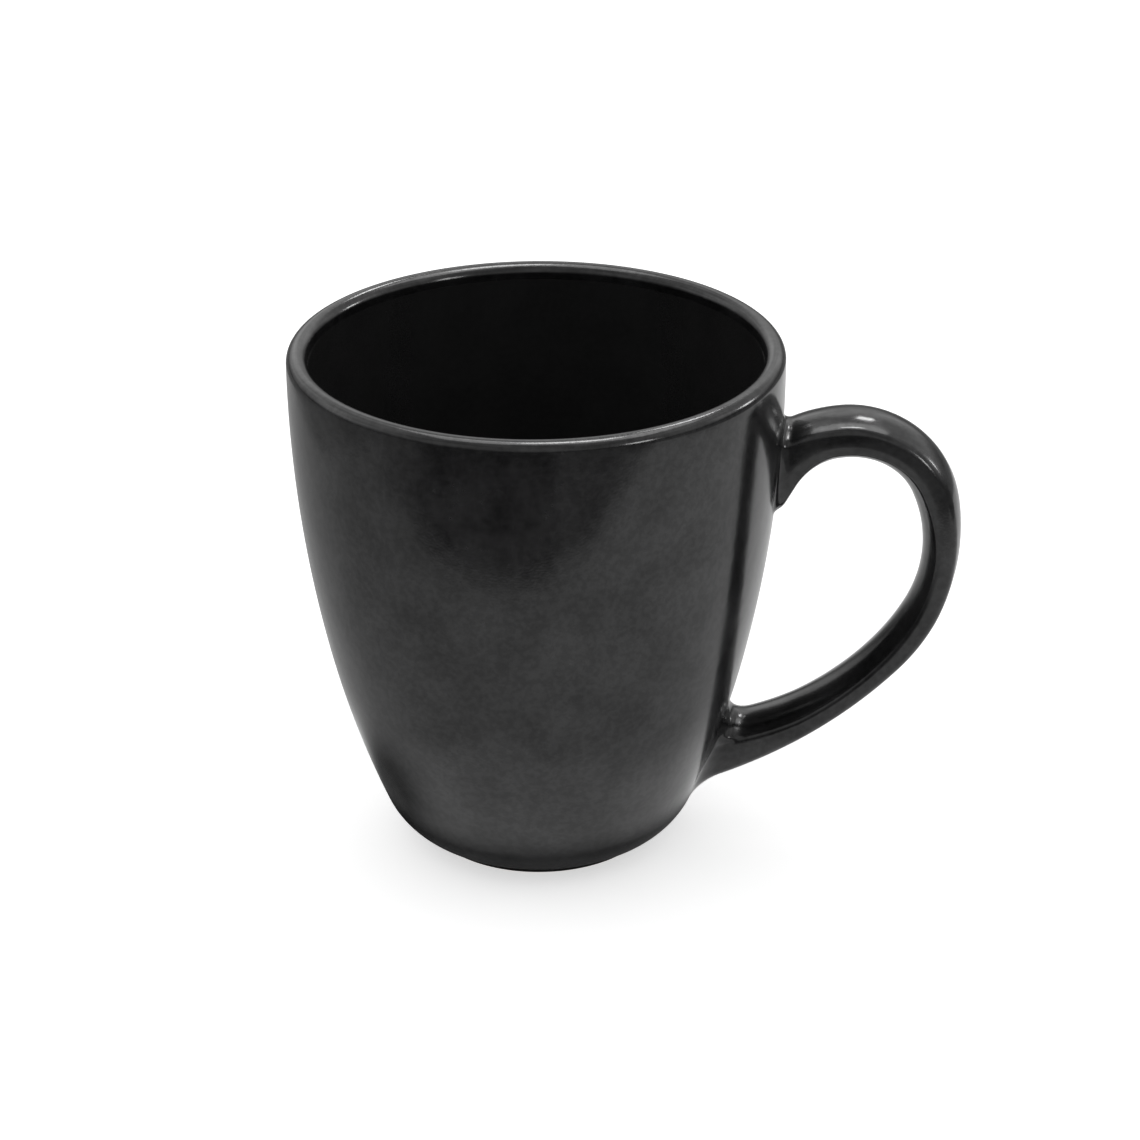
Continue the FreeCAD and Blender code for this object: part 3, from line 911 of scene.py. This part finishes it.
@dataclass(frozen=True)
class ClayFinish:
    """Bare fired stoneware: warm grey brown with iron specks and faint turning lines."""

    name: str = "fired_stoneware"
    dark: tuple[float, float, float] = (0.30, 0.235, 0.18)
    pale: tuple[float, float, float] = (0.44, 0.36, 0.285)
    iron: tuple[float, float, float] = (0.07, 0.045, 0.03)
    roughness: tuple[float, float] = (0.72, 0.9)
    bump: float = 0.35

    def make(self, groups: dict[str, bpy.types.NodeTree]) -> bpy.types.Material:
        """Builds the material.

        Args:
            groups: The shared shader groups.

        Returns:
            The material.
        """
        material, g, shader = new_material(self.name)
        place = g.add("ShaderNodeTexCoord").outputs["Object"]
        cloud = use_group(g, groups["cloud"], place, Size=5.0, Detail=6.0)
        specks = use_group(g, groups["specks"], place, Size=1.1, Share=0.22)
        peel = use_group(g, groups["peel"], place, Wave=1.6, Pit=0.3, Pits=0.8)
        base = mix_colour(g, cloud.outputs["Level"], self.dark, self.pale)
        g.link(mix_colour(g, specks.outputs["Mask"], base, self.iron), shader.inputs["Base Color"])
        g.link(g.ramp(cloud.outputs["Level"], 0.0, 1.0, *self.roughness), shader.inputs["Roughness"])
        bump = g.add("ShaderNodeBump", strength=self.bump, distance=MM)
        g.link(peel.outputs["Height"], bump.inputs["Height"])
        g.link(bump.outputs["Normal"], shader.inputs["Normal"])
        return material


@dataclass
class Finishes:
    """The mug's three finishes."""

    satin: bpy.types.Material
    gloss: bpy.types.Material
    clay: bpy.types.Material

    @classmethod
    def make(cls) -> Finishes:
        """Builds the shared groups once, then each finish."""
        groups = {"specks": specks_group(), "cloud": cloud_group(), "mottle": mottle_group(),
                  "peel": peel_group()}
        satin = GlazeFinish("satin_black_glaze", dark=(0.0042, 0.0042, 0.0044), pale=(0.034, 0.034, 0.035),
                            roughness=(0.13, 0.18), speck_size=0.9, speck_share=0.5, speck_strength=0.20,
                            grain=0.13, fleck=0.13, sheen=(0.46, 0.55), ior=1.5, wave=6.0, bump=0.04)
        gloss = GlazeFinish("gloss_black_glaze", dark=(0.014, 0.014, 0.0142), pale=(0.026, 0.026, 0.026),
                            roughness=(0.07, 0.11), speck_size=0.9, speck_share=0.2, speck_strength=0.15,
                            grain=0.15, fleck=0.0, sheen=(0.45, 0.55), ior=1.5, wave=9.0, bump=0.02)
        return cls(satin.make(groups), gloss.make(groups), ClayFinish().make(groups))


def new_material(name: str) -> tuple[bpy.types.Material, Graph, bpy.types.Node]:
    """A material with one Principled shader, its graph and that shader."""
    material = bpy.data.materials.new(name)
    material.use_nodes = True
    tree = material.node_tree
    shader = next(n for n in tree.nodes if n.type == "BSDF_PRINCIPLED")
    return material, Graph(tree), shader


def use_group(g: Graph, tree: bpy.types.NodeTree, place: bpy.types.NodeSocket,
              **values: float) -> bpy.types.Node:
    """Places a shared group in a material.

    Args:
        g: The material's graph.
        tree: The group.
        place: The socket that its places are read from.
        values: Values of its inputs.

    Returns:
        The group's node.
    """
    node = g.add("ShaderNodeGroup")
    node.node_tree = tree
    g.link(place, node.inputs["Place"])
    for name, value in values.items():
        node.inputs[name].default_value = value
    return node


def mix_colour(g: Graph, share: bpy.types.NodeSocket, first: object, second: object) -> bpy.types.NodeSocket:
    """Mixes two colours.

    Args:
        g: The material's graph.
        share: How much of the second colour there is.
        first: The first colour, a tuple or a socket.
        second: The second colour, a tuple or a socket.

    Returns:
        The mixed colour's socket.
    """
    node = g.tree.nodes.new("ShaderNodeMix")
    node.data_type = "RGBA"
    sockets = [s for s in node.inputs if s.type == "RGBA"]
    g.link(share, node.inputs[0])
    for socket, value in zip(sockets, (first, second)):
        if isinstance(value, tuple):
            socket.default_value = (*value, 1.0)
        else:
            g.link(value, socket)
    return next(s for s in node.outputs if s.type == "RGBA")


# ----------------------------------------------------------------------------------------------------
# Studio
# ----------------------------------------------------------------------------------------------------
@dataclass(frozen=True)
class Softbox:
    """A rectangular studio light that faces a point near the mug and is seen in its glaze."""

    name: str
    azimuth: float
    elevation: float
    distance: float
    size: tuple[float, float]
    radiance: float

    def place(self, target: Vector) -> None:
        """Adds the light.

        Args:
            target: The point that it faces.
        """
        data = bpy.data.lights.new(self.name, "AREA")
        data.shape, data.size, data.size_y = "RECTANGLE", *self.size
        data.energy = self.radiance * math.pi * self.size[0] * self.size[1]
        light = bpy.data.objects.new(self.name, data)
        away = direction(self.azimuth, self.elevation)
        high = self.elevation > 60.0
        upward = Vector((0.0, 1.0, 0.0)) if high else Vector((0.0, 0.0, 1.0))
        across = upward.cross(away).normalized()
        light.location = target + away * self.distance
        light.rotation_euler = Matrix((across, away.cross(across), away)).transposed().to_euler()
        light.visible_camera = light.visible_diffuse = False
        bpy.context.scene.collection.objects.link(light)


@dataclass(frozen=True)
class Sheet:
    """The white sheet that the mug stands on, and the room past its edges, as the glaze shows them: a painted
    reflection on a plane that only the glaze sees, with painted shade, painted shadows, a painted pool of
    light and painted dark reflections.

    Attributes:
        left, right, front, back: The sheet's edges, in metres from the mug's axis.
        soft: How wide each edge's fading is.
        turned: How far the sheet is turned about the mug's axis, in degrees.
        shaded_left, lit_right: How light the sheet is far to the left and far to the right; the left is
            darker with painted shade.
        room: How light the room is; it is painted darker than the sheet.
        dark_reflections: Azimuth ranges, in degrees, where the room has another lightness, each with that
            lightness: painted dark reflections.
        dark_reflection_edge: Half the width of each range's fading, in degrees.
        near_share, far_share: Shares of the left edge's distance between which shaded_left turns to
            lit_right.
        shadow_centre, shadow_radii, shadow: Where the mug's painted soft shadow is deepest, its inner and
            outer radii, and how light it is there.
        contact_radii, contact: The same for the painted narrow shadow round the foot.
        pool_radii, pool: The same for the painted pool of light that lies round the mug.
    """

    left: float = -0.215
    right: float = 0.30
    front: float = -0.1365
    back: float = 0.30
    soft: float = 0.014
    turned: float = -9.5
    shaded_left: float = 0.52
    lit_right: float = 0.98
    room: float = 0.27
    dark_reflections: tuple[tuple[float, float, float], ...] = ((-38.0, 21.5, 0.10), (-31.0, -22.0, 0.05),
                                                   (-6.0, 3.0, 0.05))
    dark_reflection_edge: float = 1.5
    near_share: float = 0.75
    far_share: float = -0.25
    shadow_centre: tuple[float, float] = (-0.034, -0.010)
    shadow_radii: tuple[float, float] = (0.008, 0.032)
    shadow: float = 0.12
    contact_radii: tuple[float, float] = (0.0285, 0.035)
    contact: float = 0.20
    pool_radii: tuple[float, float] = (0.034, 0.066)
    pool: float = 1.9

    def make(self) -> bpy.types.Material:
        """Builds the material: a painted reflection with painted light and shade."""
        material, g, shader = new_material("painted_reflection_sheet_and_room")
        parts = g.add("ShaderNodeSeparateXYZ")
        g.link(g.add("ShaderNodeTexCoord").outputs["Object"], parts.inputs[0])
        x, y = parts.outputs["X"], parts.outputs["Y"]
        inside = g.ramp(x, self.left - self.soft, self.left + self.soft)
        inside = g.maths("MULTIPLY", inside, g.ramp(x, self.right + self.soft, self.right - self.soft))
        inside = g.maths("MULTIPLY", inside, g.ramp(y, self.front - self.soft, self.front + self.soft))
        inside = g.maths("MULTIPLY", inside, g.ramp(y, self.back + self.soft, self.back - self.soft))
        # Painted shade: the sheet grows darker towards its left.
        level = g.ramp(x, self.left * self.near_share, self.left * self.far_share, self.shaded_left,
                       self.lit_right)
        # Painted shadow of the mug, deepest beside its foot on the left.
        aside = g.maths("SUBTRACT", x, self.shadow_centre[0])
        ahead = g.maths("SUBTRACT", y, self.shadow_centre[1])
        away = g.maths("SQRT", g.maths("ADD", g.maths("MULTIPLY", aside, aside),
                                       g.maths("MULTIPLY", ahead, ahead)))
        level = g.maths("MULTIPLY", level, g.ramp(away, *self.shadow_radii, self.shadow, 1.0))
        # Painted narrow shadow in a ring round the foot.
        out = g.maths("SQRT", g.maths("ADD", g.maths("MULTIPLY", x, x), g.maths("MULTIPLY", y, y)))
        level = g.maths("MULTIPLY", level, g.ramp(out, *self.contact_radii, self.contact, 1.0))
        # Painted pool of light round the mug.
        level = g.maths("MULTIPLY", level, g.ramp(out, *self.pool_radii, self.pool, 1.0))
        # Painted dark reflections: the room is darker within these azimuth ranges.
        bearing = g.maths("ARCTAN2", x, g.maths("MULTIPLY", y, -1.0))
        room: object = self.room
        for first, last, light in self.dark_reflections:
            start, stop, edge = (math.radians(angle) for angle in (first, last, self.dark_reflection_edge))
            within = g.maths("MULTIPLY", g.ramp(bearing, start - edge, start + edge),
                             g.ramp(bearing, stop + edge, stop - edge))
            room = g.maths("ADD", g.maths("MULTIPLY", within, light),
                           g.maths("MULTIPLY", g.maths("SUBTRACT", 1.0, within), room))
        shade = g.maths("ADD", g.maths("MULTIPLY", inside, level),
                        g.maths("MULTIPLY", g.maths("SUBTRACT", 1.0, inside), room))
        g.link(shade, shader.inputs["Base Color"])
        shader.inputs["Roughness"].default_value = 1.0
        shader.inputs["Specular IOR Level"].default_value = 0.0
        return material


@dataclass
class Studio:
    """A white table that glows with painted light, a bright uneven sky and five soft lights, seen from the
    wanted place.
    """

    sky: tuple[float, float] = (0.85, 1.45)
    low_sky: float = 0.14
    low_top: float = 0.38
    front_sky: float = 0.50
    front_edges: tuple[float, float] = (-0.5, 0.2)
    table_shade: float = 0.88
    # Painted light: the table glows, though it is no lamp.
    table_glow: float = 0.55
    floor_size: float = 6.0
    sheet_height: float = 0.00005
    camera_azimuth: float = 4.5
    camera_elevation: float = 25.983
    camera_distance: float = 0.600
    aim_height: float = 0.0475
    yaw: float = -0.556
    pitch: float = 0.322
    roll: float = 0.502
    lens: float = 104.03
    lights: tuple[Softbox, ...] = (
        Softbox("overhead", 156.0, 77.5, 0.9, (0.26, 0.17), 13.0),
        Softbox("ceiling", 156.0, 80.0, 0.95, (0.95, 0.60), 2.5),
        Softbox("back_window", 163.0, 48.0, 1.2, (0.20, 0.14), 14.0),
        Softbox("right_window", 112.0, 17.0, 1.2, (0.17, 0.17), 12.0),
        Softbox("front_window", 50.0, 16.0, 1.2, (0.22, 0.20), 10.0),
    )

    def build(self) -> None:
        """Adds the floor, the lights and the camera."""
        self.add_floors()
        self.add_world()
        target = Vector((0.0, 0.0, self.aim_height))
        for light in self.lights:
            light.place(target)
        self.add_camera()
        bpy.context.scene.view_settings.view_transform = "Standard"

    def add_plane(self, name: str, height: float, material: bpy.types.Material) -> bpy.types.Object:
        """Adds a level square, as scenery.

        Args:
            name: The square's name.
            height: Its height in metres.
            material: Its material.

        Returns:
            The new object.
        """
        half = self.floor_size / 2.0
        mesh = bpy.data.meshes.new(name)
        mesh.from_pydata([(-half, -half, height), (half, -half, height), (half, half, height),
                          (-half, half, height)], [], [(0, 1, 2, 3)])
        mesh.materials.append(material)
        plane = bpy.data.objects.new(name, mesh)
        bpy.context.scene.collection.objects.link(plane)
        return plane

    def add_floors(self) -> None:
        """The plain table that is seen, and the sheet and room with painted light and shade that only the
        glaze reflects.
        """
        material, _, shader = new_material("white_table")
        shader.inputs["Base Color"].default_value = (self.table_shade,) * 3 + (1.0,)
        # Painted light: the table glows so that it stays white in the mug's shadow.
        shader.inputs["Emission Color"].default_value = (1.0, 1.0, 1.0, 1.0)
        shader.inputs["Emission Strength"].default_value = self.table_glow
        shader.inputs["Roughness"].default_value = 1.0
        shader.inputs["Specular IOR Level"].default_value = 0.0
        table = self.add_plane("table_top", 0.0, material)
        table.visible_glossy = False
        look = Sheet()
        # A plane of painted reflection, with painted shadows and light, seen only in the glaze.
        sheet = self.add_plane("painted_reflection_sheet", self.sheet_height, look.make())
        sheet.rotation_euler.z = math.radians(look.turned)
        sheet.visible_camera = sheet.visible_diffuse = sheet.visible_shadow = False

    def add_world(self) -> None:
        """Soft uneven light from all round, plain white where the camera looks past the table."""
        world = bpy.data.worlds.new("soft_room")
        world.use_nodes = True
        g = Graph(world.node_tree)
        back = next(n for n in world.node_tree.nodes if n.type == "BACKGROUND")
        back.inputs["Color"].default_value = (1.0, 1.0, 1.0, 1.0)
        noise = g.add("ShaderNodeTexNoise", scale=2.6, detail=1.5)
        where = g.add("ShaderNodeTexCoord").outputs["Generated"]
        g.link(where, noise.inputs["Vector"])
        level = g.ramp(noise.outputs[0], 0.35, 0.65, *self.sky)
        parts = g.add("ShaderNodeSeparateXYZ")
        g.link(where, parts.inputs[0])
        level = g.maths("MULTIPLY", level, g.ramp(parts.outputs["Z"], 0.0, self.low_top, self.low_sky, 1.0))
        level = g.maths("MULTIPLY", level, g.ramp(parts.outputs["Y"], *self.front_edges, self.front_sky, 1.0))
        seen = g.add("ShaderNodeLightPath").outputs["Is Camera Ray"]
        level = g.maths("MAXIMUM", g.maths("MULTIPLY", level, g.maths("SUBTRACT", 1.0, seen)), seen)
        g.link(level, back.inputs["Strength"])
        bpy.context.scene.world = world

    def add_camera(self) -> None:
        """The camera, at the height and distance that give the wanted view."""
        data = bpy.data.cameras.new("camera")
        data.lens, data.sensor_width = self.lens, 36.0
        camera = bpy.data.objects.new("camera", data)
        away = direction(self.camera_azimuth, self.camera_elevation)
        camera.location = Vector((0.0, 0.0, self.aim_height)) + away * self.camera_distance
        forward = -away
        right = forward.cross(Vector((0.0, 0.0, 1.0))).normalized()
        up = right.cross(forward)
        aimed = Matrix((right, up, forward))
        sin, cos = math.sin, math.cos
        y, p, r = (math.radians(v) for v in (self.yaw, self.pitch, self.roll))
        turn_y = Matrix(((cos(y), 0, sin(y)), (0, 1, 0), (-sin(y), 0, cos(y))))
        turn_x = Matrix(((1, 0, 0), (0, cos(p), -sin(p)), (0, sin(p), cos(p))))
        turn_z = Matrix(((cos(r), -sin(r), 0), (sin(r), cos(r), 0), (0, 0, 1)))
        rows = turn_z @ turn_x @ turn_y @ aimed
        axes = Matrix((rows[0], rows[1], -rows[2])).transposed()
        camera.rotation_euler = axes.to_euler()
        bpy.context.scene.collection.objects.link(camera)
        bpy.context.scene.camera = camera


def direction(azimuth: float, elevation: float) -> Vector:
    """The unit vector in a direction.

    Args:
        azimuth: Degrees from -Y towards +X.
        elevation: Degrees above the level.

    Returns:
        The vector.
    """
    a, e = math.radians(azimuth), math.radians(elevation)
    return Vector((math.sin(a) * math.cos(e), -math.cos(a) * math.cos(e), math.sin(e)))


def main() -> None:
    """Builds the mug and its studio."""
    logging.basicConfig(level=logging.INFO, format="%(name)s: %(message)s")
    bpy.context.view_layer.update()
    finishes = Finishes.make()
    cup = Cup()
    cup.build(finishes)
    Handle(cup).build(finishes)
    Studio().build()


if __name__ == "__main__":
    main()
